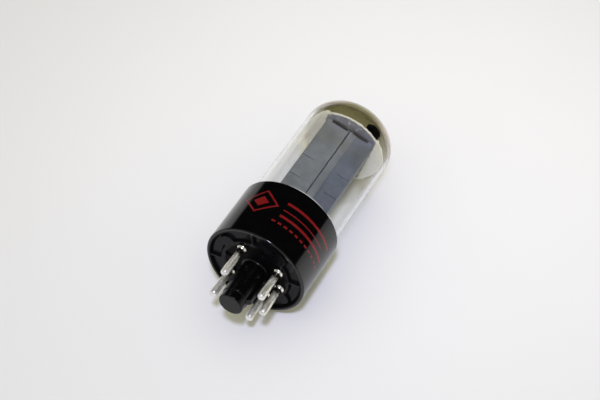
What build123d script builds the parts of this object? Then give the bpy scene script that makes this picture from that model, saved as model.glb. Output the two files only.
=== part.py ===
from build123d import *
from math import atan2, cos, degrees, radians, sin
import os

# Octal-based twin-plate rectifier tube, lying on its side.
# Row frame, millimetres: +Y runs along the tube from its pins to its dome, +Z is up, and the origin is
# where the tube's axis meets the seating plane of the base.
# Each piece is built upright first, with +Z along the tube and the key of the post towards +X. The plates,
# micas and filaments are built in a cage frame that is turned about that axis.

# how the tube lies
KEY_ROLL = 2.8                      # the key's direction, from +X towards +Z
CAGE_CLOCK = 19.1                   # the cage's right side, from the key towards pin 1

# base shell, moulded in one with its key post
BASE_R = 15.94
BASE_H = 21.2
BASE_WALL = 1.1
BASE_FLOOR = 2.6
BASE_BOTTOM_ROUND = 0.45
BASE_TOP_ROUND = 0.3
RIM_WIDTH = 1.15                    # the ring that the base sits on
HUB_R = 10.9                        # the raised middle that carries the pins
HUB_SET_IN = 0.15                   # how far the hub, bosses and ribs stay behind the rim
RECESS_DEPTH = 0.95                 # of the ring-shaped field between hub and rim
RECESS_LEAN = 0.6                   # how far each wall of that field leans in, from its mouth to its floor
BOSS_R = 2.1                        # round bosses in that field
BOSS_FROM_RIM = 1.1
BOSS_COUNT = 4
RIB_WIDTH = 0.5                     # radial ribs in that field
RIB_COUNT = 4

# key post
POST_R = 3.97
POST_LEN = 14.2
POST_BORE_R = 2.9
POST_END_WALL = 1.5
POST_ROOT_FILLET = 0.5
POST_TIP_R = 3.75                   # the post past the key is a little thinner
POST_TIP_LEN = 2.6
POST_END_ROUND = 0.2
KEY_OUT = 0.95                      # how far the key stands out of the post
KEY_WIDTH = 2.2
KEY_LEN = 11.4
KEY_TIP_BEVEL = 0.7

# contact pins
PIN_PLACES = 8
PINS = (1, 2, 4, 6, 8)              # the places that carry a pin, counted from the key
PIN_CIRCLE_R = 8.73
PIN_R = 1.18
PIN_BORE_R = 0.8
PIN_LEN = 11.1
PIN_BEAD_R = 1.55                   # the swaged bead under the base
PIN_BEAD_H = 0.9
PIN_BEAD_UNDERCUT = 0.25
PIN_FLARE_R = 1.8                   # the flare inside the base
PIN_FLARE_H = 0.45
SOLDER_DEPTH = 1.9
PIN_TIP_H = 0.9                     # of the rounded end
PIN_TIP_KNUCKLE_R = 0.6
BLANK_R = 1.2                       # the dimple at each place with no pin
BLANK_DEPTH = 0.7

# glass bulb
GLASS_IN_SHELL = 0.39               # all round the glass, filled by the cement
GLASS_WALL = 1.0
DOME_H = 10.9
DOME_KNUCKLE_R = 8.6                # the tighter round where the dome leaves the side
SEATED_H = 69.26                    # from the seating plane to the top of the dome
BULB_BOTTOM = 8.0
BULB_FLAT = 0.65                    # from the stem to the round at the bulb's bottom
CEMENT_LOW = 11.6
CEMENT_BELOW_RIM = 0.7

# glass stem and exhaust tube
STEM_PAST_PINS = 1.87
STEM_H = 2.2
STEM_FILLET_R = 1.5                 # the glass that climbs each lead
STEM_FILLET_H = 1.3
EXHAUST_R = 2.2
EXHAUST_WALL = 0.6
EXHAUST_TIP = -8.6
EXHAUST_TIP_H = 3.0

# leads: thin below the middle of the stem, thick above it
LEAD_R = 0.35
LEAD_TIP_GAP = 0.7                  # from a lead's end to its pin's end
ROD_R = 0.5

# micas
MICA_IN_GLASS = 0.2                 # from the ears to the glass
MICA_EAR_OUT = 0.35
MICA_T = 0.35
MICA_EAR_W = 1.8
MICA_EARS = 4
MICA_BELOW_SHOULDER = 2.16
BOTTOM_MICA_Z = 22.9
SLOT_CLEAR = 0.08                   # around what passes through a mica

# plates: two boxes side by side, each a pair of nested channels
PLATE_GAP = 0.25
PLATE_W = 8.0
PLATE_DEPTH = 16.2
PLATE_T = 0.3
PLATE_CORNER_R = 0.35
PLATE_OVERLAP = 1.0                 # each channel reaches this far past the middle at the outer side
PLATE_BUTT_GAP = 0.1                # where the two channels meet edge to edge, at the seam side
LAP_W = 2.2                         # the folded strip along the seam
NOTCH_FROM_SEAM = 0.6
NOTCH_FROM_EDGE = 1.9
NOTCH_DEPTH = 0.75
TONGUE_W = 1.0
TONGUE_IN = 0.35                    # from the notch's end to the tongue
TONGUE_OUT = 1.1                    # how far a tongue stands past its mica
SLIT_H = 0.25
SLIT_ACROSS = 4.2
SLIT_ROUND_CORNER = 3.0
SLITS_BELOW_MICA = (17.0, 25.4)

# filaments
FILAMENT_T = 0.14
FILAMENT_W = 1.2
FILAMENT_SPREAD = 5.8               # from the middle to each foot
FILAMENT_BELOW_MICA = 2.0
FILAMENT_APEX_BELOW_MICA = 2.2
HOOK_WIRE_R = 0.2
HOOK_FOOT = 2.0
BAR_W = 1.0
BAR_T = 0.3
BAR_PAST = 0.7

# straps from the plates to their leads
STRAP_W = 0.8
STRAP_T = 0.3
STRAP_BELOW_MICA = 0.2
STRAP_PAST = 0.6                    # how far a strap runs past its tongue

# getter
CUP_R = 2.5
CUP_H = 2.0
CUP_WALL = 0.25
CUP_ABOVE_MICA = 6.8
CUP_FROM_SIDE = 8.25                # from the middle of the cup to the bulb's inner side, across the plates
CUP_FORWARD = 4.0
GETTER_WIRE_R = 0.3
GETTER_FOOT = 2.6
FLASH_GAP = 0.05
FLASH_T = 0.07
FLASH_BELOW_MICA = 12.0

# worked out from the values above
SHELL_IN_R = BASE_R - BASE_WALL
RECESS_OUT_R = BASE_R - RIM_WIDTH
BOSS_CIRCLE_R = RECESS_OUT_R - BOSS_R - BOSS_FROM_RIM
GLASS_R = SHELL_IN_R - GLASS_IN_SHELL
BULB_IN_R = GLASS_R - GLASS_WALL
STEM_R = PIN_CIRCLE_R + STEM_PAST_PINS
BULB_CORNER_R = GLASS_R - STEM_R - BULB_FLAT
SHOULDER_Z = SEATED_H - DOME_H
MICA_R = BULB_IN_R - MICA_IN_GLASS
MICA_BODY_R = MICA_R - MICA_EAR_OUT
TOP_MICA_Z = SHOULDER_Z - MICA_BELOW_SHOULDER
CUP_Z = TOP_MICA_Z + CUP_ABOVE_MICA
CUP_ACROSS = BULB_IN_R - CUP_FROM_SIDE
STEM_MID_Z = BULB_BOTTOM + STEM_H / 2
PLATE_BOTTOM = BOTTOM_MICA_Z + MICA_T
BOX_MID = (PLATE_GAP + PLATE_W) / 2
FOOT_Z = BOTTOM_MICA_Z - FILAMENT_BELOW_MICA
BAR_Z = FOOT_Z + BAR_W / 2
STRAP_TOP = BOTTOM_MICA_Z - STRAP_BELOW_MICA
LEADS = {2: BAR_Z + BAR_W / 2, 4: STRAP_TOP, 6: STRAP_TOP, 8: BAR_Z + BAR_W / 2}
HALF_TURN = Rot(0, 0, 180)
CAGE = Rot(0, 0, CAGE_CLOCK)
LYING = Rot(-90, 0, 0) * Rot(0, 0, -KEY_ROLL)


def lathe(*curves):
    """A solid turned about Z from a closed outline drawn as (radius, height)."""
    edges = [edge for curve in curves for edge in curve.edges()]
    return revolve(Plane.XZ * make_face(edges), Axis.Z)


def turned(*points):
    return revolve(Plane.XZ * make_face(Polyline(*points, close=True)), Axis.Z)


def dome(r, h, knuckle_r, z, way=1):
    """The curve from the side of a round body at height z to its axis: a tight arc, then a wide one."""
    crown_r = ((r - knuckle_r) ** 2 + h ** 2 - knuckle_r ** 2) / (2 * (h - knuckle_r))
    meet = degrees(atan2(crown_r - h, r - knuckle_r))
    return Curve() + [
        CenterArc((r - knuckle_r, z), knuckle_r, 0, way * meet),
        CenterArc((0, z + way * (h - crown_r)), crown_r, way * meet, way * (90 - meet)),
    ]


def ring(r_out, r_in, z_low, z_high):
    return Pos(0, 0, (z_low + z_high) / 2) * (
        Cylinder(r_out, z_high - z_low) - Cylinder(r_in, z_high - z_low)
    )


def rod(r, z_low, z_high, x=0, y=0):
    return Pos(x, y, (z_low + z_high) / 2) * Cylinder(r, z_high - z_low)


def block(x0, x1, y0, y1, z0, z1):
    return Pos((x0 + x1) / 2, (y0 + y1) / 2, (z0 + z1) / 2) * Box(x1 - x0, y1 - y0, z1 - z0)


def bent_wire(points, bend_r, wire_r):
    path = FilletPolyline(*points, radius=bend_r)
    return sweep(path.location_at(0) * Circle(wire_r), path=path)


def pin_angle(place):
    """The direction of a pin's place from the key, in degrees."""
    return 360 / PIN_PLACES * (place - 0.5)


def pin_xy(place, turn=0):
    a = radians(pin_angle(place) - turn)
    return PIN_CIRCLE_R * cos(a), PIN_CIRCLE_R * sin(a)


def in_cage(place):
    """Where a pin's lead stands, in the cage frame."""
    return pin_xy(place, CAGE_CLOCK)


# base

def leaning(r, lean, x=0, y=0):
    """A round body as deep as the field, whose radius grows by lean from the field's mouth to its floor."""
    deep = RECESS_DEPTH - HUB_SET_IN
    return Pos(x, y, HUB_SET_IN + deep / 2) * Cone(r, r + lean, deep)


def rib():
    """A rib of the field towards +X, with leaning sides."""
    top, foot = RIB_WIDTH / 2, RIB_WIDTH / 2 + RECESS_LEAN
    outline = Polyline((-top, HUB_SET_IN), (top, HUB_SET_IN), (foot, RECESS_DEPTH), (-foot, RECESS_DEPTH), close=True)
    return Pos(HUB_R - 1, 0, 0) * extrude(Plane.YZ * make_face(outline), RECESS_OUT_R - HUB_R + 2)


def recess():
    """What is cut away inside the rim: all round, and deeper between the hub, the bosses and the ribs."""
    field = leaning(RECESS_OUT_R, -RECESS_LEAN) - leaning(HUB_R, RECESS_LEAN)
    for i in range(BOSS_COUNT):
        a = radians(360 / BOSS_COUNT * (i + 0.5))
        field -= leaning(BOSS_R, RECESS_LEAN, BOSS_CIRCLE_R * cos(a), BOSS_CIRCLE_R * sin(a))
    for i in range(RIB_COUNT):
        field -= Rot(0, 0, 360 / RIB_COUNT * i) * rib()
    return field + rod(RECESS_OUT_R, 0, HUB_SET_IN)


def key_post():
    """The solid post, rounded out into the base, thinner past its key and rounded at its end."""
    root, end = POST_R + POST_ROOT_FILLET, POST_TIP_R - POST_END_ROUND
    root_z, end_z = HUB_SET_IN - POST_ROOT_FILLET, -POST_LEN + POST_END_ROUND
    step_z = -POST_LEN + POST_TIP_LEN
    return lathe(
        Polyline((0, -POST_LEN), (0, BASE_FLOOR / 2), (root, BASE_FLOOR / 2), (root, HUB_SET_IN)),
        CenterArc((root, root_z), POST_ROOT_FILLET, 90, 90),
        Polyline((POST_R, root_z), (POST_R, step_z + POST_R - POST_TIP_R), (POST_TIP_R, step_z),
                 (POST_TIP_R, end_z)),
        CenterArc((end, end_z), POST_END_ROUND, 0, -90),
        Line((end, -POST_LEN), (0, -POST_LEN)),
    )


def key():
    """The key along the post, with a bevelled tip."""
    reach = POST_R + KEY_OUT
    outline = Polyline(
        (POST_BORE_R + 0.3, 0.5), (reach, 0.5), (reach, -KEY_LEN + KEY_TIP_BEVEL),
        (reach - KEY_TIP_BEVEL, -KEY_LEN), (POST_BORE_R + 0.3, -KEY_LEN), close=True,
    )
    return extrude(Plane.XZ * make_face(outline), KEY_WIDTH / 2, both=True)


def base_shell():
    shell = rod(BASE_R, 0, BASE_H) - rod(SHELL_IN_R, BASE_FLOOR, BASE_H)
    shell = fillet(shell.edges().group_by(Axis.Z)[0], BASE_BOTTOM_ROUND)
    shell = fillet(shell.edges().group_by(Axis.Z)[-1], BASE_TOP_ROUND)
    shell = shell - recess() + key_post() + key()
    shell -= rod(POST_BORE_R, -POST_LEN + POST_END_WALL, BASE_FLOOR + 1)
    for place in range(1, PIN_PLACES + 1):
        x, y = pin_xy(place)
        if place in PINS:
            shell -= rod(PIN_R, -1, BASE_FLOOR + 1, x, y)
        else:
            shell -= rod(BLANK_R, -1, BLANK_DEPTH, x, y)
    return shell


def basing_cement():
    return ring(SHELL_IN_R, GLASS_R, CEMENT_LOW, BASE_H - CEMENT_BELOW_RIM)


# pins, solder and leads

def pin(place):
    """A drawn tube pin, with a bead under the base's floor and a flare above it."""
    shoulder = -PIN_LEN + PIN_TIP_H
    x, y = pin_xy(place)
    bead_top = (PIN_BEAD_R - PIN_BEAD_UNDERCUT, HUB_SET_IN)
    return Pos(x, y, 0) * lathe(
        Polyline(
            bead_top, (PIN_R, HUB_SET_IN), (PIN_R, BASE_FLOOR), (PIN_FLARE_R, BASE_FLOOR),
            (PIN_FLARE_R, BASE_FLOOR + PIN_FLARE_H), (PIN_BORE_R, BASE_FLOOR + PIN_FLARE_H),
            (PIN_BORE_R, shoulder), (PIN_R, shoulder), (PIN_R, -PIN_BEAD_H),
        ),
        ThreePointArc((PIN_R, -PIN_BEAD_H), (PIN_BEAD_R, -PIN_BEAD_H / 2), bead_top),
    )


def pin_solder(place):
    """The solder that closes a pin's end, around its lead if it has one."""
    shoulder = -PIN_LEN + PIN_TIP_H
    x, y = pin_xy(place)
    plug = lathe(
        Polyline((0, -PIN_LEN), (0, -PIN_LEN + SOLDER_DEPTH), (PIN_BORE_R, -PIN_LEN + SOLDER_DEPTH),
                 (PIN_BORE_R, shoulder), (PIN_R, shoulder)),
        dome(PIN_R, PIN_TIP_H, PIN_TIP_KNUCKLE_R, shoulder, way=-1),
    )
    if place in LEADS:
        plug -= rod(LEAD_R, -PIN_LEN + LEAD_TIP_GAP, 0)
    return Pos(x, y, 0) * plug


def lead_shape(place, thin_r, thick_r):
    x, y = pin_xy(place)
    thin = rod(thin_r, -PIN_LEN + LEAD_TIP_GAP, STEM_MID_Z, x, y)
    return thin + rod(thick_r, STEM_MID_Z, LEADS[place], x, y)


def lead(place):
    return lead_shape(place, LEAD_R, ROD_R)


# glass

def bulb_dome(inset=0):
    """The dome's curve, drawn in evenly by inset."""
    return dome(GLASS_R - inset, DOME_H - inset, DOME_KNUCKLE_R - inset, SHOULDER_Z)


def glass_bulb():
    low, corner = BULB_BOTTOM, BULB_CORNER_R
    return lathe(
        Line((STEM_R, low), (GLASS_R - corner, low)),
        CenterArc((GLASS_R - corner, low + corner), corner, -90, 90),
        Line((GLASS_R, low + corner), (GLASS_R, SHOULDER_Z)),
        bulb_dome(),
        Line((0, SEATED_H), (0, SEATED_H - GLASS_WALL)),
        bulb_dome(GLASS_WALL),
        Line((BULB_IN_R, SHOULDER_Z), (BULB_IN_R, low + corner)),
        CenterArc((GLASS_R - corner, low + corner), corner - GLASS_WALL, 0, -90),
        Line((GLASS_R - corner, low + GLASS_WALL), (STEM_R, low + GLASS_WALL)),
        Line((STEM_R, low + GLASS_WALL), (STEM_R, low)),
    )


def stem_button():
    """The glass disc that closes the bulb, with a fillet of glass around each lead."""
    low, high = BULB_BOTTOM, BULB_BOTTOM + STEM_H
    button = rod(STEM_R, low, high)
    for place in LEADS:
        x, y = pin_xy(place)
        climb = turned((0, high - 0.5), (STEM_FILLET_R, high - 0.5), (STEM_FILLET_R, high),
                       (ROD_R + 0.25, high + STEM_FILLET_H), (0, high + STEM_FILLET_H))
        button += Pos(x, y, 0) * climb
    for place in LEADS:
        button -= lead(place)
    return button - rod(EXHAUST_R - EXHAUST_WALL, low - 1, high + 1)


def exhaust_tube():
    """The sealed-off tube that the bulb was pumped through, down inside the post."""
    bore = EXHAUST_R - EXHAUST_WALL
    neck = EXHAUST_TIP + EXHAUST_TIP_H
    return turned(
        (bore, BULB_BOTTOM), (EXHAUST_R, BULB_BOTTOM), (EXHAUST_R, neck), (0.7 * EXHAUST_R, EXHAUST_TIP + 1.1),
        (0.35 * EXHAUST_R, EXHAUST_TIP + 0.25), (0, EXHAUST_TIP), (0, EXHAUST_TIP + 1.4), (bore, neck + 0.4),
    )


def getter_flash():
    """The film of getter metal on the inside of the dome and the top of the bulb's side."""
    outside, inside = GLASS_WALL + FLASH_GAP, GLASS_WALL + FLASH_GAP + FLASH_T
    low = TOP_MICA_Z - FLASH_BELOW_MICA
    return lathe(
        Line((GLASS_R - inside, low), (GLASS_R - outside, low)),
        Line((GLASS_R - outside, low), (GLASS_R - outside, SHOULDER_Z)),
        bulb_dome(outside),
        Line((0, SEATED_H - outside), (0, SEATED_H - inside)),
        bulb_dome(inside),
        Line((GLASS_R - inside, SHOULDER_Z), (GLASS_R - inside, low)),
    )


# micas

def tongue_span():
    """Across the right plate: where its tongue starts and ends."""
    end = PLATE_GAP / 2 + PLATE_W - NOTCH_FROM_EDGE + TONGUE_IN
    return end, end + TONGUE_W


def mica(z, cutters):
    disc = rod(MICA_BODY_R, z, z + MICA_T)
    for i in range(MICA_EARS):
        ear = block(0, MICA_R + 1, -MICA_EAR_W / 2, MICA_EAR_W / 2, z, z + MICA_T)
        disc += Rot(0, 0, 360 / MICA_EARS * (i + 0.5)) * (ear & rod(MICA_R, z, z + MICA_T))
    x0, x1 = tongue_span()
    wall = PLATE_DEPTH / 2
    for turn in (0, 180):
        for low, high in ((-wall, -wall + PLATE_T), (wall - PLATE_T, wall)):
            slot = block(x0 - SLOT_CLEAR, x1 + SLOT_CLEAR, low - SLOT_CLEAR, high + SLOT_CLEAR, z - 1, z + 1)
            disc -= Rot(0, 0, turn) * slot
    for cutter in cutters:
        disc -= cutter
    return disc


def top_mica():
    hook_x = BOX_MID + FILAMENT_W / 2 + HOOK_WIRE_R + 0.1
    hole = rod(HOOK_WIRE_R + SLOT_CLEAR, TOP_MICA_Z - 1, TOP_MICA_Z + 1, hook_x, 0)
    return mica(TOP_MICA_Z, [hole, Rot(0, 0, 180) * hole])


def bottom_mica():
    cutters = []
    half = FILAMENT_W / 2 + 0.3
    for side in (-1, 1):
        for way in (-1, 1):
            x, y = side * BOX_MID, way * FILAMENT_SPREAD
            cutters.append(block(x - half, x + half, y - 0.6, y + 0.6, BOTTOM_MICA_Z - 1, BOTTOM_MICA_Z + 1))
    return mica(BOTTOM_MICA_Z, cutters)


# plates, drawn as the right-hand box: the left one is the same box turned half round

def channel(inset, y_from, y_to):
    """One channel of the box: its walls between y_from and y_to, drawn in by inset at the outer side."""
    width = PLATE_W - inset
    outline = RectangleRounded(width, PLATE_DEPTH, PLATE_CORNER_R)
    hollow = Rectangle(width - 2 * PLATE_T, PLATE_DEPTH - 2 * PLATE_T)
    half = Pos(0, (y_from + y_to) / 2) * Rectangle(width + 1, y_to - y_from)
    walls = extrude((outline - hollow) & half, TOP_MICA_Z - PLATE_BOTTOM)
    return Pos((PLATE_GAP + width) / 2, 0, PLATE_BOTTOM) * walls


def seam_cut(way):
    """What is cut from a channel's side at the seam, past the middle towards -Y or +Y."""
    y0, y1 = sorted((-way * PLATE_BUTT_GAP / 2, way * (PLATE_OVERLAP + 1)))
    return block(0, PLATE_GAP / 2 + 2 * PLATE_T, y0, y1, PLATE_BOTTOM - 1, TOP_MICA_Z + 1)


def end_cuts(wall_y):
    """What is cut from a channel's end walls so that only their corners meet the micas."""
    x0 = PLATE_GAP / 2 + NOTCH_FROM_SEAM
    x1 = PLATE_GAP / 2 + PLATE_W - NOTCH_FROM_EDGE
    y0, y1 = wall_y - 1, wall_y + 1
    return [
        block(x0, x1, y0, y1, TOP_MICA_Z - NOTCH_DEPTH, TOP_MICA_Z + 1),
        block(x0, x1, y0, y1, PLATE_BOTTOM - 1, PLATE_BOTTOM + NOTCH_DEPTH),
    ]


def slits(way):
    """Narrow cuts across a box's outer corner, towards -Y or +Y."""
    edge = PLATE_GAP / 2 + PLATE_W
    y0, y1 = sorted((way * (PLATE_DEPTH / 2 + 1), way * (PLATE_DEPTH / 2 - SLIT_ROUND_CORNER)))
    mids = [TOP_MICA_Z - below for below in SLITS_BELOW_MICA]
    return [block(edge - SLIT_ACROSS, edge + 1, y0, y1, z - SLIT_H / 2, z + SLIT_H / 2) for z in mids]


def tongues(way):
    x0, x1 = tongue_span()
    y0, y1 = sorted((way * PLATE_DEPTH / 2, way * (PLATE_DEPTH / 2 - PLATE_T)))
    return [
        block(x0, x1, y0, y1, TOP_MICA_Z - 1, TOP_MICA_Z + MICA_T + TONGUE_OUT),
        block(x0, x1, y0, y1, BOTTOM_MICA_Z - TONGUE_OUT, PLATE_BOTTOM + 1),
    ]


def plate_front():
    """The outer channel, with the folded strip beside the seam."""
    half = channel(0, -PLATE_DEPTH / 2, PLATE_OVERLAP) - seam_cut(1)
    front = -PLATE_DEPTH / 2
    half += block(PLATE_GAP / 2, PLATE_GAP / 2 + LAP_W, front - PLATE_T, front + PLATE_T / 2,
                  PLATE_BOTTOM + NOTCH_DEPTH, TOP_MICA_Z - NOTCH_DEPTH)
    for cut in end_cuts(front) + slits(-1):
        half -= cut
    for tongue in tongues(-1):
        half += tongue
    return half


def plate_rear():
    """The inner channel, nested in the outer one along the box's outer side."""
    half = channel(PLATE_T, -PLATE_OVERLAP, PLATE_DEPTH / 2) - seam_cut(-1)
    for cut in end_cuts(PLATE_DEPTH / 2) + slits(1):
        half -= cut
    for tongue in tongues(1):
        half += tongue
    return half


# filaments

def filament():
    """An inverted V of ribbon inside the right box, its feet below the bottom mica."""
    apex = TOP_MICA_Z - FILAMENT_APEX_BELOW_MICA
    crown = 3 * HOOK_WIRE_R
    low, spread, t = FOOT_Z, FILAMENT_SPREAD, FILAMENT_T
    outer = Polyline((-spread - t, low), (-crown - t, apex - crown), (-crown / 2 - t, apex), (crown / 2 + t, apex),
                     (crown + t, apex - crown), (spread + t, low), (spread, low), (crown, apex - crown),
                     (crown / 2, apex - t), (-crown / 2, apex - t), (-crown, apex - crown), (-spread, low),
                     close=True)
    ribbon = extrude(Plane.YZ * make_face(outer), FILAMENT_W / 2, both=True)
    return Pos(BOX_MID, 0, 0) * ribbon


def filament_hook():
    """The wire that hangs a filament's crown from the top mica."""
    across = FILAMENT_W / 2 + HOOK_WIRE_R + 0.1
    under = TOP_MICA_Z - FILAMENT_APEX_BELOW_MICA - FILAMENT_T - HOOK_WIRE_R - 0.05
    over = TOP_MICA_Z + MICA_T + HOOK_WIRE_R
    x = BOX_MID + across
    points = [(x, HOOK_FOOT, over), (x, 0, over), (x, 0, under), (BOX_MID - across, 0, under)]
    return bent_wire(points, 2 * HOOK_WIRE_R, HOOK_WIRE_R)


def filament_bar(place):
    """The strip that joins a foot of each filament to one lead."""
    x_lead, y_lead = in_cage(place)
    way = 1 if y_lead > 0 else -1
    near = FILAMENT_SPREAD + FILAMENT_T
    y0, y1 = sorted((way * near, way * (near + BAR_T)))
    strip = block(-BOX_MID - BAR_PAST, x_lead, y0, y1, BAR_Z - BAR_W / 2, BAR_Z + BAR_W / 2)
    return strip - rod(ROD_R, 0, BAR_Z + BAR_W, x_lead, y_lead)


# straps to the plates

def strap(place, side):
    """The strip from a lead to a lower tongue of the plate on one side, left -1 or right 1."""
    x_lead, y_lead = in_cage(place)
    x_tongue = side * sum(tongue_span()) / 2
    way = 1 if y_lead > 0 else -1
    across = 1 if x_tongue > x_lead else -1
    y_tongue = way * (PLATE_DEPTH / 2 - PLATE_T)
    z0, z1 = STRAP_TOP - STRAP_W, STRAP_TOP
    x0, x1 = sorted((x_lead, x_tongue + across * STRAP_PAST))
    y0, y1 = sorted((y_tongue, y_tongue - way * STRAP_T))
    along = block(x0, x1, y0, y1, z0, z1)
    x0, x1 = sorted((x_lead, x_lead + across * 2 * ROD_R))
    y0, y1 = sorted((y_lead, y_tongue))
    foot = block(x0, x1, y0, y1, z0, z1)
    return along + foot - rod(ROD_R, 0, STRAP_TOP + 1, x_lead, y_lead)


# getter

def getter_cup():
    cup = rod(CUP_R, CUP_Z, CUP_Z + CUP_H) - rod(CUP_R - CUP_WALL, CUP_Z + CUP_WALL, CUP_Z + CUP_H)
    return Pos(CUP_ACROSS, -CUP_FORWARD, 0) * cup


def getter_wire():
    over = TOP_MICA_Z + MICA_T + GETTER_WIRE_R
    points = [(CUP_ACROSS, -CUP_FORWARD + GETTER_FOOT, over), (CUP_ACROSS, -CUP_FORWARD, over),
              (CUP_ACROSS, -CUP_FORWARD, CUP_Z)]
    return bent_wire(points, 3 * GETTER_WIRE_R, GETTER_WIRE_R)


def pieces():
    """Every piece by name, upright, with the key towards +X."""
    made = {
        "base_shell": base_shell(),
        "basing_cement": basing_cement(),
        "glass_bulb": glass_bulb(),
        "stem_button": stem_button(),
        "exhaust_tube": exhaust_tube(),
        "getter_flash": getter_flash(),
    }
    for place in PINS:
        made[f"pin_{place}"] = pin(place)
        made[f"pin_{place}_solder"] = pin_solder(place)
    for place in LEADS:
        made[f"lead_{place}"] = lead(place)
    caged = {
        "top_mica": top_mica(),
        "bottom_mica": bottom_mica(),
        "right_plate_front": plate_front(),
        "right_plate_rear": plate_rear(),
        "left_plate_rear": HALF_TURN * plate_front(),
        "left_plate_front": HALF_TURN * plate_rear(),
        "right_filament": filament(),
        "left_filament": HALF_TURN * filament(),
        "right_filament_hook": filament_hook(),
        "left_filament_hook": HALF_TURN * filament_hook(),
        "filament_bar_2": filament_bar(2),
        "filament_bar_8": filament_bar(8),
        "plate_strap_4": strap(4, -1),
        "plate_strap_6": strap(6, 1),
        "getter_cup": getter_cup(),
        "getter_wire": getter_wire(),
    }
    for name, piece in caged.items():
        made[name] = CAGE * piece
    return made


os.makedirs("parts", exist_ok=True)
for name, piece in pieces().items():
    export_step(LYING * piece, f"parts/{name}.step")
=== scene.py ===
import math
import bpy
import numpy as np
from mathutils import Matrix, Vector


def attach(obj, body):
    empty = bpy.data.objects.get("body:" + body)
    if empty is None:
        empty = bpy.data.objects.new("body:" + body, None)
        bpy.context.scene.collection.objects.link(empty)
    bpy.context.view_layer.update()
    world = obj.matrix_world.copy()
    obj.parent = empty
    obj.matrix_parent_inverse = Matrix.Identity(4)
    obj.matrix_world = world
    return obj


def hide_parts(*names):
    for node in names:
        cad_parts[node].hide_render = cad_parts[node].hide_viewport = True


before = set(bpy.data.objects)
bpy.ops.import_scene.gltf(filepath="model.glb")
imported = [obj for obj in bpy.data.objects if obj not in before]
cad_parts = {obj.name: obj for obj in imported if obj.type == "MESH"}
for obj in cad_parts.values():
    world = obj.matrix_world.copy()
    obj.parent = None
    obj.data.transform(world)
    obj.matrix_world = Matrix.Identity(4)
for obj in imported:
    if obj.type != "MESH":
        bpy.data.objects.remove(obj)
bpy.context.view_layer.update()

# Lengths are in millimetres up to the meshes, whose vertices are in metres in the row frame:
# +Y along the tube from its pins to its dome, +Z up, the seating plane of the base at y = 0.
MM = 0.001
KEY = 2.8                               # direction of the post's key, degrees from +X towards +Z
CAGE = 16.3                             # direction of the cage's right side, degrees from +X towards -Z

# the base, and the ring-shaped field, bosses, ribs and dimples of its bottom
BASE_R, BASE_H, BASE_FLOOR, BASE_BORE_R = 15.94, 21.2, 2.6, 14.84
FIELD_IN_R, FIELD_OUT_R = 10.9, 14.79
BOSS_CIRCLE_R, BOSS_R = 11.59, 2.1
RIB_HALF, DIMPLE_R = 0.25, 1.2

# the post with its key
POST_R, POST_TIP_R, POST_END = 3.97, 3.75, -14.2
POST_BORE_R, POST_BORE_END = 2.9, -12.7
KEY_REACH, KEY_HALF, KEY_END = 4.92, 1.1, -10.7

# the pins, and the places on their circle
PINS, BLANKS = (1, 2, 4, 6, 8), (3, 5, 7)
PIN_CIRCLE_R, PIN_R, PIN_WAIST_R, PIN_BORE_R = 8.73, 1.18, 1.04, 0.8
FLARE_R, FLARE_H = 1.8, 0.45            # the pin's flare inside the base

# the bulb and its top mica
GLASS_R, GLASS_WALL, SHOULDER_Y, TOP_Y = 14.45, 1.0, 58.36, 69.26
SEAT_R, HEEL_R, HEEL_Y, KNUCKLE_R = 10.6, 3.2, 11.2, 8.6
FILM_LOW = 44.2                         # the film's sheets start here and are clear up to its ragged edge
MICA_R, MICA_Y = 12.9, 56.2             # the disc and its side towards the base

# the floor touches the base's top rim at REST_Y and rises by REST_SLOPE to the glass's shoulder
REST_Y, REST_SLOPE = 21.2, 0.0401

PALE = (0.85, 0.84, 0.86)               # the floor as lit, and the room beyond it
AMBIENT = (0.775, 0.757, 0.577)         # the light from all round
BLACKS = (0.0006, 0.0006, 0.0006), (0.002, 0.002, 0.002)
FILM_SHADE = (0.95, 0.93, 0.88)         # what the film lets through of the light


# meshes

def arc(cx, cy, r, a0, a1, n):
    return [(cx + r * math.cos(math.radians(a0 + (a1 - a0) * i / n)),
             cy + r * math.sin(math.radians(a0 + (a1 - a0) * i / n))) for i in range(n + 1)]


def line(a, b, n):
    return [(a[0] + (b[0] - a[0]) * i / n, a[1] + (b[1] - a[1]) * i / n) for i in range(n + 1)]


def smoothstep(t):
    t = np.clip(t, 0, 1)
    return t * t * (3 - 2 * t)


def link(obj):
    bpy.context.scene.collection.objects.link(obj)
    return obj


def grid_mesh(name, x, y, z, close_rows=False, smooth_angle=40):
    """A mesh from grids of millimetre coordinates, closed round its columns."""
    rows, cols = x.shape
    co = np.stack([x, y, z], -1).reshape(-1, 3) * MM
    i = np.arange(rows if close_rows else rows - 1)[:, None]
    j = np.arange(cols)[None, :]
    k, m = (i + 1) % rows, (j + 1) % cols
    quads = np.stack([i * cols + j, k * cols + j, k * cols + m, i * cols + m], -1).reshape(-1, 4)
    mesh = bpy.data.meshes.new(name)
    mesh.from_pydata(co.tolist(), [], quads.tolist())
    mesh.validate()
    mesh.shade_smooth()
    mesh.set_sharp_from_angle(angle=math.radians(smooth_angle))
    return link(bpy.data.objects.new(name, mesh))


def lathe(name, profile, cols=192, centre=(0, 0), close_rows=False):
    """A mesh turned about an axis along Y through centre, from points (radius, y)."""
    p = np.array(profile, float)
    a = np.linspace(0, 2 * math.pi, cols, endpoint=False)[None, :]
    r = np.maximum(p[:, :1], 1e-4)
    return grid_mesh(name, centre[0] + r * np.cos(a), p[:, 1:] + 0 * a, centre[1] + r * np.sin(a), close_rows)


def stands_for(obj, node, material):
    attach(obj, "root")
    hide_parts(node)
    obj.data.materials.append(material)


def place_angle(place):
    """Direction of a place on the pin circle, in degrees from the key towards +Z."""
    return -45 * (place - 0.5)


# node materials

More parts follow.
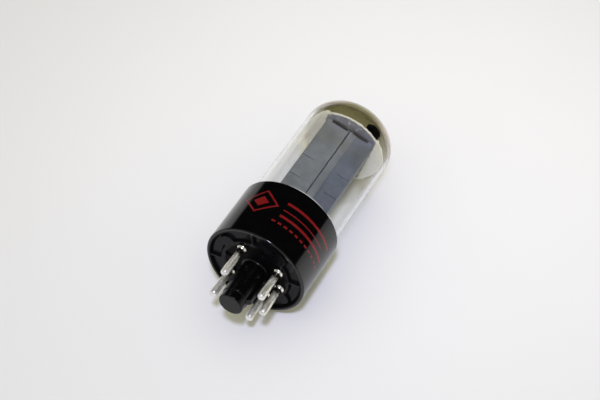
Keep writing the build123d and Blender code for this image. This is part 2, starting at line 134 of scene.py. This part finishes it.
class Graph:
    """A node tree with short ways to add what the materials here use."""

    def __init__(self, owner):
        owner.use_nodes = True
        self.tree = owner.node_tree
        self.tree.nodes.clear()

    def add(self, kind, **settings):
        node = self.tree.nodes.new(kind)
        for key, value in settings.items():
            setattr(node, key, value)
        return node

    def put(self, value, socket):
        if isinstance(value, bpy.types.NodeSocket):
            self.tree.links.new(value, socket)
        else:
            socket.default_value = value

    def paint(self, colour, socket):
        self.put(colour if isinstance(colour, bpy.types.NodeSocket) else (*colour, 1), socket)

    def math(self, operation, *values, clamp=False):
        node = self.add("ShaderNodeMath", operation=operation, use_clamp=clamp)
        for value, socket in zip(values, node.inputs):
            self.put(value, socket)
        return node.outputs[0]

    def plus(self, a, b):
        return self.math("ADD", a, b)

    def times(self, product, *factors):
        for factor in factors:
            product = self.math("MULTIPLY", product, factor)
        return product

    def most(self, a, b):
        return self.math("MAXIMUM", a, b)

    def step(self, value, low, high, to_low=0.0, to_high=1.0):
        """Runs smoothly from to_low to to_high as value runs from low to high."""
        node = self.add("ShaderNodeMapRange", interpolation_type="SMOOTHSTEP")
        for v, socket in zip((value, low, high, to_low, to_high), node.inputs):
            self.put(v, socket)
        return node.outputs[0]

    def band(self, value, low, high, soft=0.1):
        """1 where value is from low to high, with soft edges inside them."""
        return self.times(self.step(value, low, low + soft), self.step(value, high, high - soft))

    def at(self, per_mm=1.0, stretch=(1, 1, 1)):
        """The place on the object in millimetres, scaled."""
        where = self.add("ShaderNodeTexCoord").outputs["Object"]
        node = self.add("ShaderNodeVectorMath", operation="MULTIPLY")
        self.put(where, node.inputs[0])
        self.put([1000 * per_mm * s for s in stretch], node.inputs[1])
        return node.outputs[0]

    def split(self, vector):
        node = self.add("ShaderNodeSeparateXYZ")
        self.put(vector, node.inputs[0])
        return node.outputs

    def noise(self, per_mm, detail=3.0, rough=0.55, stretch=(1, 1, 1), warp=0.0):
        node = self.add("ShaderNodeTexNoise")
        self.put(self.at(per_mm, stretch), node.inputs["Vector"])
        node.inputs["Scale"].default_value = 1.0
        node.inputs["Detail"].default_value = detail
        node.inputs["Roughness"].default_value = rough
        node.inputs["Distortion"].default_value = warp
        return node.outputs["Fac"]

    def specks(self, per_mm, size):
        """1 on scattered small dots, 0 elsewhere."""
        node = self.add("ShaderNodeTexVoronoi")
        self.put(self.at(per_mm), node.inputs["Vector"])
        node.inputs["Scale"].default_value = 1.0
        return self.step(node.outputs["Distance"], size, size * 0.5)

    def mix(self, share, a, b):
        node = self.add("ShaderNodeMix", data_type="RGBA")
        self.put(share, node.inputs["Factor"])
        self.paint(a, node.inputs["A"])
        self.paint(b, node.inputs["B"])
        return node.outputs["Result"]

    def bump(self, height, depth_mm, strength):
        node = self.add("ShaderNodeBump")
        node.inputs["Strength"].default_value = strength
        node.inputs["Distance"].default_value = depth_mm * MM
        self.put(height, node.inputs["Height"])
        return node.outputs[0]

    def principled(self, colour, roughness, normal=None, **constants):
        node = self.add("ShaderNodeBsdfPrincipled")
        self.paint(colour, node.inputs["Base Color"])
        self.put(roughness, node.inputs["Roughness"])
        if normal is not None:
            self.put(normal, node.inputs["Normal"])
        for key, value in constants.items():
            self.put(value, node.inputs[key.replace("_", " ")])
        return node.outputs[0]

    def clear(self, colour):
        node = self.add("ShaderNodeBsdfTransparent")
        self.paint(colour, node.inputs[0])
        return node.outputs[0]

    def blend(self, share, a, b):
        node = self.add("ShaderNodeMixShader")
        self.put(share, node.inputs[0])
        self.put(a, node.inputs[1])
        self.put(b, node.inputs[2])
        return node.outputs[0]

    def ray(self, kind):
        return self.add("ShaderNodeLightPath").outputs[kind]

    def lit_through(self):
        """1 for the rays that bring light, 0 for those that see."""
        return self.most(self.ray("Is Shadow Ray"), self.ray("Is Diffuse Ray"))

    def finish(self, shader, kind="ShaderNodeOutputMaterial"):
        self.put(shader, self.add(kind).inputs["Surface"])


def material(name):
    made = bpy.data.materials.new(name)
    return made, Graph(made)


def towards_right(g):
    """How far a place is towards the cage's right, in mm."""
    x, y, z = g.split(g.at())
    return g.math("SUBTRACT", g.times(x, math.cos(math.radians(CAGE))), g.times(z, math.sin(math.radians(CAGE))))


def axis_distance(g):
    """How far a place is from the tube's axis, in mm."""
    x, y, z = g.split(g.at())
    return g.math("POWER", g.plus(g.math("POWER", x, 2.0), g.math("POWER", z, 2.0)), 0.5)


def ornament(g, u, v):
    """Red ruled bars and dashes beside a lozenge, as a mask: u runs round the side and v along the axis."""
    centre_u, centre_v = math.radians(106) * BASE_R, 12.6
    du = g.times(g.math("ABSOLUTE", g.math("SUBTRACT", u, centre_u)), 0.8)
    dv = g.math("ABSOLUTE", g.math("SUBTRACT", v, centre_v))
    ring = g.plus(du, dv)
    mask = g.most(g.band(ring, 3.9, 4.7), g.step(ring, 2.1, 2.0))
    for low, high, u_low, u_high in ((14.4, 15.4, 2.0, 22.0), (11.9, 12.4, 5.5, 22.0), (9.4, 10.4, 2.0, 22.0)):
        mask = g.most(mask, g.times(g.band(v, low, high), g.band(u, u_low, u_high)))
    dash = g.band(g.math("FRACT", g.times(u, 0.5)), 0.0, 0.62, 0.04)
    return g.most(mask, g.times(dash, g.band(v, 6.9, 7.7), g.band(u, 1.9, 24.1)))


def phenolic():
    """Black moulding: its side is glossy and carries a ruled red ornament, its bottom is duller, and its recess walls
    and hub get painted shade from a finish that barely reflects.
    """
    made, g = material("phenolic")
    haze = g.noise(0.35, 4)
    grain = g.noise(6.0, 2)
    dust = g.specks(1.1, 0.055)
    x, y, z = g.split(g.at())
    across = g.times(g.math("ARCTAN2", z, x), BASE_R)       # mm round the side from +X towards +Z
    r = axis_distance(g)
    side = g.times(g.step(r, BASE_R - 0.3, BASE_R - 0.1), g.step(y, 0.6, 0.8))
    worn = g.step(g.noise(2.2, 4, 0.7), 0.3, 0.42)
    ink = g.times(ornament(g, across, y), side, worn)
    black = g.mix(haze, *BLACKS)
    black = g.mix(g.times(dust, 0.2), black, (0.25, 0.24, 0.22))
    roughness = g.plus(g.step(haze, 0.35, 0.7, 0.06, 0.11), g.times(ink, 0.22))
    normal = g.bump(g.plus(g.times(grain, 0.3), haze), 0.02, 0.25)
    glossy = g.principled(g.mix(ink, black, (0.165, 0.002, 0.004)), roughness, normal, IOR=1.5)
    flat = g.principled(g.mix(grain, (0.001, 0.001, 0.002), (0.004, 0.004, 0.006)),
                        g.step(grain, 0.3, 0.7, 0.16, 0.26), g.bump(grain, 0.02, 0.4), IOR=1.22)
    # recess walls and most of the hub take a rough, barely reflecting finish that keeps them dark: painted shade
    wall = g.principled(black, g.step(grain, 0.3, 0.7, 0.5, 0.7), g.bump(grain, 0.02, 0.4), IOR=1.12)
    facing = g.math("ABSOLUTE", g.split(g.add("ShaderNodeTexCoord").outputs["Normal"])[1])
    hub = g.times(g.step(r, 4.2, 4.6), g.step(r, 10.2, 9.4))
    bottom = g.blend(g.most(g.step(facing, 0.97, 0.88), g.times(hub, 0.85)), flat, wall)
    under = g.times(g.step(y, 1.3, 1.1), g.step(r, 15.3, 15.1))
    g.finish(g.blend(under, glossy, bottom))
    return made


def post_black():
    """The same moulding, rubbed duller by sockets."""
    made, g = material("phenolic_post")
    haze = g.noise(0.8, 4)
    rub = g.noise(3.0, 3, stretch=(1, 0.12, 1))
    g.finish(g.principled(g.mix(haze, *BLACKS), g.step(rub, 0.3, 0.7, 0.2, 0.3), g.bump(rub, 0.01, 0.2), IOR=1.33))
    return made


def bulb_glass():
    """Clear glass that lets lamps through, with faint streaks and specks."""
    made, g = material("bulb_glass")
    streak = g.noise(0.25, 3, stretch=(1, 0.25, 1))
    tint = g.mix(streak, (0.985, 0.99, 0.985), (0.955, 0.965, 0.955))
    tint = g.mix(g.times(g.specks(0.9, 0.05), 0.3), tint, (0.6, 0.6, 0.57))
    glass = g.principled(tint, g.step(streak, 0.4, 0.7, 0.0, 0.012), g.bump(streak, 0.05, 0.25), IOR=1.5,
                         Transmission_Weight=1.0)
    g.finish(g.blend(g.lit_through(), glass, g.clear((0.93, 0.94, 0.93))))
    return made


def stem_glass():
    made, g = material("stem_glass")
    streak = g.noise(0.6, 3)
    tint = g.mix(streak, (0.93, 0.96, 0.94), (0.86, 0.9, 0.88))
    glass = g.principled(tint, g.step(streak, 0.3, 0.7, 0.02, 0.08), g.bump(streak, 0.1, 0.5), IOR=1.5,
                         Transmission_Weight=1.0)
    g.finish(g.blend(g.ray("Is Shadow Ray"), glass, g.clear((0.85, 0.88, 0.86))))
    return made


def film_edge(g):
    """How far a place is above the film's ragged lower edge, in mm, how far it is round the lying tube, from 0 on
    top to 1 at the sides and below, and a cloudy pattern. The film reaches lower where the second is 1."""
    x, y, z = g.split(g.at())
    patch = g.noise(0.16, 4, warp=0.6)
    front = g.math("DIVIDE", g.plus(g.times(x, 0.34), g.times(z, 0.94)), 13.4)
    back = g.math("SUBTRACT", 1.0, front, clamp=True)
    ragged = g.times(g.math("SUBTRACT", patch, 0.5), g.math("MULTIPLY_ADD", back, 6.0, 1.0))
    edge = g.plus(g.math("MULTIPLY_ADD", back, 5.5, g.math("SUBTRACT", y, 60.5)), ragged)
    return edge, back, patch


def film_outside():
    """The film as it looks through the glass that carries it: silver, olive at its edge, turning pinkish grey towards
    the sides as a painted reflection of the lit floor.
    """
    made, g = material("getter_film_outside")
    edge, back, patch = film_edge(g)
    fine = g.noise(0.9, 3)
    dense = g.step(edge, -0.3, g.math("MULTIPLY_ADD", back, 7.0, 0.25))
    sides_painted_reflection = g.step(g.math("ABSOLUTE", towards_right(g)), 3.0, 9.5)
    # towards the sides the silver and its olive edge turn pinkish and paler: a painted reflection of the lit floor
    silver = g.mix(sides_painted_reflection, g.mix(patch, (0.44, 0.395, 0.275), (0.54, 0.485, 0.345)),
                   g.mix(patch, (0.74, 0.625, 0.59), (0.88, 0.745, 0.71)))
    olive = g.mix(sides_painted_reflection, g.mix(patch, (0.22, 0.195, 0.10), (0.31, 0.28, 0.15)), (0.36, 0.30, 0.24))
    colour = g.mix(g.step(edge, 0.2, 5.0), olive, silver)
    fringe = g.times(g.step(edge, -0.5, -0.1), g.step(edge, 0.7, 0.2), g.step(back, 0.5, 0.1, 0.1, 1.0))
    colour = g.mix(g.times(fringe, 0.85), colour, (0.07, 0.05, 0.025))
    dense = g.most(dense, g.times(fringe, 0.8))
    film = g.principled(colour, g.step(fine, 0.3, 0.7, 0.28, 0.42), g.bump(fine, 0.02, 0.3), Metallic=0.3)
    g.finish(g.blend(g.lit_through(), g.blend(dense, g.clear((1, 1, 1)), film), g.clear(FILM_SHADE)))
    return made


def film_inside():
    """The film's inner side, with painted shadow of the mica darkening it towards the mica, and the stain below it,
    seen across the bulb.
    """
    made, g = material("getter_film_inside")
    edge, back, patch = film_edge(g)
    fine = g.noise(0.7, 4)
    dense = g.step(edge, -0.4, g.math("MULTIPLY_ADD", back, 11.0, 0.4))
    colour = g.mix(patch, (0.38, 0.345, 0.17), (0.50, 0.465, 0.25))
    # darker towards the mica: painted shadow of the mica on the far wall
    low = g.step(g.split(g.at())[1], 62.0, 57.0)
    colour = g.mix(g.times(low, 0.6), colour, (0.26, 0.21, 0.14))
    film = g.principled(colour, g.step(fine, 0.3, 0.7, 0.35, 0.5), g.bump(fine, 0.02, 0.3), Metallic=0.1)
    depth = g.times(g.step(edge, -9.0, 0.0), g.step(back, 0.1, 0.9, 0.15, 1.0))
    stain = g.mix(depth, (0.99, 0.985, 0.97), (0.90, 0.87, 0.74))
    g.finish(g.blend(g.lit_through(), g.blend(dense, g.clear(stain), film), g.clear(FILM_SHADE)))
    return made


def metal(name, low, high, rough_low, rough_high, stretch=(1, 0.15, 1), depth=0.01, metallic=1.0):
    """Drawn or pressed metal with streaks along the tube."""
    made, g = material(name)
    streak = g.noise(1.5, 4, stretch=stretch)
    colour = g.mix(g.step(g.noise(0.5, 4), 0.35, 0.65), low, high)
    g.finish(g.principled(colour, g.step(streak, 0.3, 0.7, rough_low, rough_high), g.bump(streak, depth, 0.4),
                          Metallic=metallic))
    return made


def matt(name, low, high, per_mm, roughness, **constants):
    made, g = material(name)
    cloud = g.noise(per_mm, 5, 0.65)
    g.finish(g.principled(g.mix(g.step(cloud, 0.3, 0.7), low, high),
                          g.step(cloud, 0.2, 0.8, roughness - 0.1, roughness + 0.1),
                          g.bump(cloud, 0.05, 0.6), **constants))
    return made


def pin_metal():
    """Nickel, tarnished near the base, with a bright bead, and whitened by solder towards the tip."""
    made, g = material("pin_nickel")
    y = g.split(g.at())[1]
    streak = g.noise(1.5, 4, stretch=(1, 0.2, 1))
    lump = g.noise(0.9, 3)
    tinned = g.step(g.plus(y, g.times(lump, 5.0)), 0.6, -1.8)
    bare = g.mix(streak, (0.16, 0.14, 0.09), (0.30, 0.27, 0.19))
    bare = g.mix(g.step(y, -1.6, -1.1), bare, (0.88, 0.86, 0.78))
    height = g.plus(streak, g.times(lump, 2.0))
    nickel = g.principled(bare, g.step(streak, 0.3, 0.7, 0.16, 0.24), g.bump(height, 0.03, 0.5), Metallic=1.0)
    white = g.mix(g.step(streak, 0.35, 0.6), (0.56, 0.54, 0.43), (0.98, 0.96, 0.86))
    tin = g.principled(white, g.step(streak, 0.3, 0.7, 0.2, 0.3), g.bump(height, 0.06, 0.8), Metallic=0.62)
    g.finish(g.blend(tinned, nickel, tin))
    return made


def plate_metal():
    """Satin grey coated steel with faint streaks along the tube, bluer and darker right of the folded strip as
    painted shade, and paler towards the mica as painted light.
    """
    made, g = material("plate_metal")
    streak = g.noise(0.9, 4, stretch=(1, 0.1, 1))
    cloud = g.step(g.noise(0.3, 4), 0.3, 0.7)
    light = g.mix(cloud, (0.20, 0.21, 0.215), (0.26, 0.27, 0.275))
    # right of the folded strip the plate is painted darker and bluer: painted shade for a face turned from the light
    shaded_blue = g.mix(cloud, (0.132, 0.147, 0.18), (0.175, 0.193, 0.235))
    colour = g.mix(g.step(g.plus(towards_right(g), g.times(streak, 0.3)), 2.4, 2.7), light, shaded_blue)
    # paler and bluer towards the mica: painted light making up for the light that the mica and film hold back
    top = g.step(g.split(g.at())[1], 30.0, 54.0, 0.0, 0.13)
    colour = g.mix(top, colour, (0.44, 0.5, 0.6))
    g.finish(g.principled(colour, g.step(streak, 0.3, 0.7, 0.42, 0.58), g.bump(streak, 0.02, 0.3), Metallic=0.35))
    return made


def mica_sheet():
    """Mica: silvery and glossy before the plates, painted white beside them as painted light, with a white frayed
    rim.
    """
    made, g = material("mica")
    flake = g.noise(0.7, 5, 0.7)
    fray = g.step(g.plus(axis_distance(g), g.times(g.noise(1.3, 4, 0.7), 1.6)), 13.3, 13.45)
    # beside the plates the mica is painted white, as if lit: painted light
    painted_light_beside_plates = g.step(g.plus(g.math("ABSOLUTE", towards_right(g)), flake), 8.3, 9.1)
    whitened = g.most(fray, painted_light_beside_plates)
    flaked = g.step(flake, 0.3, 0.7)
    bare = g.mix(flaked, (0.10, 0.098, 0.096), (0.16, 0.155, 0.15))
    white = g.mix(flaked, (0.80, 0.79, 0.76), (0.92, 0.91, 0.88))
    coat = g.principled(g.mix(whitened, bare, white), g.step(flake, 0.3, 0.7, 0.3, 0.5), g.bump(flake, 0.03, 0.5))
    shine = g.add("ShaderNodeBsdfGlossy")
    g.paint((0.75, 0.735, 0.72), shine.inputs["Color"])
    g.put(g.step(flake, 0.3, 0.7, 0.16, 0.3), shine.inputs["Roughness"])
    g.put(g.bump(flake, 0.02, 0.3), shine.inputs["Normal"])
    sheet = g.blend(g.times(g.math("SUBTRACT", 1.0, whitened), 0.27), coat, shine.outputs[0])
    g.finish(g.blend(g.times(g.lit_through(), 0.8), sheet, g.clear((0.9, 0.9, 0.88))))
    return made


def floor_cloth():
    """Pale woven cloth, greyer away from the tube as a painted pool of light, and bluer far off to make up for the
    warm light there.
    """
    made, g = material("floor_cloth")
    weave = g.add("ShaderNodeTexWave", wave_type="BANDS", bands_direction="X")
    g.put(g.at(0.9), weave.inputs["Vector"])
    colour = g.mix(g.noise(0.02, 3), (0.80, 0.80, 0.80), (0.83, 0.825, 0.83))
    away = g.add("ShaderNodeVectorMath", operation="DISTANCE")
    g.put(g.at(), away.inputs[0])
    g.put((15, 85, -13), away.inputs[1])                    # the cloth beyond the dome, where it is palest
    # greyer away from the pool's middle beyond the dome: painted light falling off
    colour = g.mix(g.step(away.outputs["Value"], 20.0, 190.0), colour, (0.64, 0.64, 0.635))
    colour = g.mix(g.step(away.outputs["Value"], 220.0, 1100.0), colour, (0.765, 0.78, 1.0))
    colour = g.mix(g.times(weave.outputs["Fac"], 0.03), colour, (0.7, 0.7, 0.7))
    g.finish(g.principled(colour, 0.9))
    return made


# what the scene shows

def base_bottom_depth(r, a):
    """How far the moulding's bottom is set in from the rim, at radius r and angle a from the key."""
    x, z = r * np.cos(a), r * np.sin(a)

    def from_spot(spot_r, degrees):
        t = math.radians(degrees)
        return np.hypot(x - spot_r * math.cos(t), z - spot_r * math.sin(t))

    behind = np.minimum(FIELD_OUT_R - r, r - FIELD_IN_R)    # how far inside the field's mouth
    for quarter in (0, 90, 180, 270):
        behind = np.minimum(behind, from_spot(BOSS_CIRCLE_R, quarter + 45) - BOSS_R)
        t = math.radians(quarter)
        beside_rib = np.abs(z * math.cos(t) - x * math.sin(t)) - RIB_HALF
        ahead = x * math.cos(t) + z * math.sin(t)
        behind = np.where(ahead > 0, np.minimum(behind, beside_rib), behind)
    depth = 0.15 + 0.8 * smoothstep(behind / 0.7)
    for place in BLANKS:
        depth = depth + 0.55 * smoothstep(0.5 - (from_spot(PIN_CIRCLE_R, place_angle(place)) - DIMPLE_R) / 0.22)
    return depth * smoothstep(0.5 - (r - FIELD_OUT_R) / 0.2)


def build_base(black):
    radii = np.concatenate([np.linspace(4.2, 9.2, 30), np.linspace(9.28, 15.2, 90)])
    a = np.linspace(0, 2 * math.pi, 540, endpoint=False)[None, :]
    r = radii[:, None] + 0 * a
    y = base_bottom_depth(r, a)
    edge, lip, inner_lip = 0.45, 0.3, 0.2
    side = arc(BASE_R - edge, edge, edge, -90, 0, 8) + line((BASE_R, 0.6), (BASE_R, BASE_H - 0.4), 30)
    side += arc(BASE_R - lip, BASE_H - lip, lip, 0, 90, 6)
    side += arc(BASE_BORE_R + inner_lip, BASE_H - inner_lip, inner_lip, 90, 180, 4)
    side += line((BASE_BORE_R, BASE_H - 0.3), (BASE_BORE_R, BASE_FLOOR), 8)
    side += line((14.6, BASE_FLOOR), (POST_BORE_R, BASE_FLOOR), 12)
    side += line((POST_BORE_R, BASE_FLOOR - 0.1), (POST_BORE_R, POST_BORE_END), 8)
    side += [(2.6, POST_BORE_END), (1.0, POST_BORE_END), (0.001, POST_BORE_END)]
    p = np.array(side)
    r = np.concatenate([r, p[:, :1] + 0 * a])
    y = np.concatenate([y, p[:, 1:] + 0 * a])
    turn = a + math.radians(KEY)
    shell = grid_mesh("shell", r * np.cos(turn), y, r * np.sin(turn), smooth_angle=60)
    stands_for(shell, "base_shell", black)


def key_radius(a, reach):
    """The radius of the key's rounded block at angle a, 0 on the post's other side."""
    power = 16
    c, s = np.maximum(np.cos(a), 1e-6) / reach, np.abs(np.sin(a)) / KEY_HALF
    return np.where(np.cos(a) > 0, (c ** power + s ** power) ** (-1 / power), 0)


def build_post(black):
    near = np.radians(np.linspace(-24, 24, 97))
    far = np.radians(np.linspace(24, 336, 210))[1:-1]
    a = np.concatenate([near, far])[None, :]
    rows = [(4.47, 0.2)] + arc(4.47, -0.35, 0.5, 90, 180, 8) + line((POST_R, -0.6), (POST_R, -10.6), 20)
    rows += line((POST_R, KEY_END), (POST_R, -11.34), 6)
    keyed = len(rows)
    rows += [(POST_R, -11.4), (3.95, -11.43), (POST_TIP_R, -11.62)]
    rows += line((POST_TIP_R, -11.8), (POST_TIP_R, -13.9), 6) + arc(POST_TIP_R - 0.3, -13.9, 0.3, 0, -90, 8)
    rows += [(3.0, POST_END), (2.0, POST_END), (1.0, POST_END), (0.0, POST_END)]
    p = np.array(rows)
    r = p[:, :1] + 0 * a
    for i in range(keyed):
        reach = KEY_REACH - max(0.0, KEY_END - p[i, 1])
        r[i] = np.maximum(r[i], key_radius(a, reach)[0])
    turn = a + math.radians(KEY)
    post = grid_mesh("key_post", r * np.cos(turn), p[:, 1:] + 0 * a, r * np.sin(turn), smooth_angle=35)
    stands_for(post, "base_shell", black)


def build_pins(nickel, solder):
    top = BASE_FLOOR + FLARE_H
    shaft = [(PIN_BORE_R, -9.3), (PIN_BORE_R, 2.0), (PIN_BORE_R, top), (FLARE_R, top), (FLARE_R, BASE_FLOOR)]
    shaft += [(PIN_R, BASE_FLOOR), (PIN_R, 0.4), (1.3, 0.15)]
    shaft += arc(1.2, -0.35, 0.35, 60, -60, 10) + [(1.19, -0.85)]
    shaft += line((1.08, -1.1), (PIN_WAIST_R, -3.0), 4) + line((1.06, -4.0), (PIN_R, -8.0), 5)
    shaft += line((PIN_R, -8.4), (PIN_R, -9.9), 3) + [(1.165, -10.15), (1.12, -10.2)]
    tip = [(1.12, -10.15), (1.17, -10.22)] + arc(0.57, -10.25, 0.6, 0, -65, 8)
    tip += [(0.6, -10.95), (0.3, -11.07), (0.0, -11.1)]
    for place in PINS:
        a = math.radians(KEY + place_angle(place))
        centre = PIN_CIRCLE_R * math.cos(a), PIN_CIRCLE_R * math.sin(a)
        stands_for(lathe(f"pin_{place}_shaft", shaft, 64, centre), f"pin_{place}", nickel)
        stands_for(lathe(f"pin_{place}_tip", tip, 48, centre), f"pin_{place}_solder", solder)


def dome_curve(inset):
    """The dome's profile from the shoulder to the top: a knuckle that meets a flatter crown."""
    r, h, k = GLASS_R - inset, TOP_Y - SHOULDER_Y - inset, KNUCKLE_R - inset
    crown = ((r - k) ** 2 + h ** 2 - k ** 2) / (2 * (h - k))
    meet = math.degrees(math.atan2(crown - h, r - k))
    return arc(r - k, SHOULDER_Y, k, 0, meet, 22) + arc(0, SHOULDER_Y + h - crown, crown, meet, 90, 30)[1:]


def build_glass(glass):
    r, w = GLASS_R, GLASS_WALL
    outer = [(SEAT_R, HEEL_Y - HEEL_R)] + arc(r - HEEL_R, HEEL_Y, HEEL_R, -90, 0, 10)
    outer += line((r, 12), (r, 58), 24) + dome_curve(0)
    inner = dome_curve(w)[::-1] + line((r - w, 58), (r - w, 12), 24)
    inner += arc(r - HEEL_R, HEEL_Y, HEEL_R - w, 0, -90, 10) + [(SEAT_R, HEEL_Y - HEEL_R + w)]
    stands_for(lathe("bulb", outer + inner, 256, close_rows=True), "glass_bulb", glass)


def build_film(name, inset, film):
    r = GLASS_R - inset
    profile = line((r, FILM_LOW), (r, 58.2), 20) + dome_curve(inset)
    stands_for(lathe(name, profile), "getter_flash", film)


def build_mica_fray(white):
    """The mica's split, whitened rim, which stands ragged above its dome side."""
    rng = np.random.default_rng(7)
    a = np.linspace(0, 2 * math.pi, 320, endpoint=False)
    cage = np.degrees(a) + CAGE
    ear = np.exp(-((cage % 90 - 45) / 7) ** 2)              # 1 at the four ears, which press on the glass
    split = rng.random(320) * 0.6 + np.repeat(rng.random(80), 4) * 0.4
    out, up = 0.04 + (0.12 + 0.22 * ear) * split, 0.06 + 0.4 * split ** 2 + 0.9 * ear * split
    even = 0 * a
    r = MICA_R + np.stack([even - 0.15, 0.3 * out, out, 0.7 * out - 0.08, even - 0.15])
    y = MICA_Y + np.stack([even + 0.1, even + 0.02, 0.2 + 0.3 * up, 0.35 + up, even + 0.36])
    fray = grid_mesh("mica_fray", r * np.cos(a), y, r * np.sin(a), close_rows=True, smooth_angle=30)
    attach(fray, "root")
    fray.data.materials.append(white)


def dress(node, made):
    """Gives a node of the frame, which keeps its CAD shape, its material."""
    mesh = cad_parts[node].data
    mesh.materials.clear()
    mesh.materials.append(made)


def build_floor():
    size = 4.0
    z0 = -(BASE_R + REST_SLOPE * REST_Y) * MM
    corners = [(x, y, z0 + REST_SLOPE * y)
               for x, y in ((-size, -size), (size, -size), (size, size), (-size, size))]
    mesh = bpy.data.meshes.new("floor")
    mesh.from_pydata(corners, [], [(0, 1, 2, 3)])
    floor = link(bpy.data.objects.new("floor", mesh))
    mesh.materials.append(floor_cloth())


def build_world():
    """Even light, a pale surround for what the camera sees, and for what gloss mirrors the pale floor below the
    horizon and above it a dark room ahead and a grey one behind the camera."""
    world = bpy.data.worlds.new("studio")
    bpy.context.scene.world = world
    g = Graph(world)
    x, y, z = g.split(g.add("ShaderNodeTexCoord").outputs["Generated"])
    horizon = g.math("MULTIPLY_ADD", x, -0.05, 0.07)
    above = g.step(g.math("SUBTRACT", z, horizon), -0.13, 0.05)
    behind = g.step(y, 0.25, -0.35)
    sky = g.mix(behind, (0.006, 0.006, 0.007), (0.36, 0.345, 0.29))
    mirrored = g.mix(above, PALE, sky)
    # a ray that was mirrored inside the glass before it left counts as gloss, or it would veil the bulb
    bounced = g.math("MINIMUM", g.ray("Glossy Depth"), 1.0)
    through = g.ray("Is Transmission Ray")
    seen = g.math("ADD", g.ray("Is Camera Ray"), through, clamp=True)
    seen = g.math("SUBTRACT", seen, bounced, clamp=True)
    glossy = g.most(g.ray("Is Glossy Ray"), g.times(through, bounced))
    colour = g.mix(glossy, AMBIENT, mirrored)
    background = g.add("ShaderNodeBackground")
    g.put(g.mix(seen, colour, PALE), background.inputs["Color"])
    g.finish(background.outputs[0], "ShaderNodeOutputWorld")


def set_up(name, data, place, direction):
    """A lamp or camera, with its place and direction in metres."""
    obj = link(bpy.data.objects.new(name, data))
    obj.location = place
    obj.rotation_euler = Vector(direction).to_track_quat("-Z", "Y").to_euler()
    return obj


def build_lamp():
    lamp = bpy.data.lights.new("key_lamp", "AREA")
    lamp.shape = "DISK"
    lamp.size = 0.14
    lamp.energy = 10.1
    lamp.color = (0.66, 0.67, 0.97)
    set_up("key_lamp", lamp, (0.25, -0.51, 1.06), (-0.25, 0.53, -1.06))


def build_camera():
    camera = bpy.data.cameras.new("camera")
    camera.lens = 94.73
    camera.sensor_width = 36
    camera.clip_start = 0.01
    camera.clip_end = 50
    bpy.context.scene.camera = set_up("camera", camera, (0.1484, -0.2520, 0.3473), (-0.3173, 0.5984, -0.7357))


build_base(phenolic())
build_post(post_black())
build_pins(pin_metal(), metal("solder", (0.70, 0.70, 0.67), (0.84, 0.84, 0.81), 0.26, 0.4, stretch=(1, 1, 1),
                              depth=0.05, metallic=0.7))
build_glass(bulb_glass())
build_film("flash_outside", GLASS_WALL - 0.02, film_outside())      # inside the wall, so no gap shows
build_film("flash_inside", GLASS_WALL + 0.12, film_inside())
build_mica_fray(matt("mica_fray", (0.74, 0.73, 0.69), (0.95, 0.94, 0.91), per_mm=2.5, roughness=0.6))

for made, names in (
    (plate_metal(), ("left_plate_front", "left_plate_rear", "right_plate_front", "right_plate_rear")),
    (mica_sheet(), ("top_mica", "bottom_mica")),
    (stem_glass(), ("stem_button", "exhaust_tube")),
    (metal("nickel_strip", (0.40, 0.39, 0.36), (0.55, 0.53, 0.50), 0.25, 0.4),
     ("filament_bar_2", "filament_bar_8", "plate_strap_4", "plate_strap_6")),
    (metal("nickel_wire", (0.42, 0.41, 0.38), (0.58, 0.56, 0.53), 0.22, 0.38),
     ("getter_wire", "left_filament_hook", "right_filament_hook")),
    (metal("lead_wire", (0.50, 0.30, 0.20), (0.62, 0.42, 0.30), 0.25, 0.4), ("lead_2", "lead_4", "lead_6", "lead_8")),
    (matt("filament_oxide", (0.74, 0.74, 0.70), (0.88, 0.88, 0.85), per_mm=2.0, roughness=0.85),
     ("left_filament", "right_filament")),
    (matt("cement", (0.60, 0.53, 0.41), (0.76, 0.70, 0.58), per_mm=1.5, roughness=0.85), ("basing_cement",)),
    # the getter cup is painted near black and barely reflecting: painted shade on its underside
    (matt("getter_metal", (0.002, 0.0015, 0.001), (0.008, 0.006, 0.005), per_mm=1.5, roughness=0.8, IOR=1.2),
     ("getter_cup",)),
):
    for name in names:
        dress(name, made)

build_floor()
build_world()
build_lamp()
build_camera()
bpy.context.scene.view_settings.view_transform = "Standard"
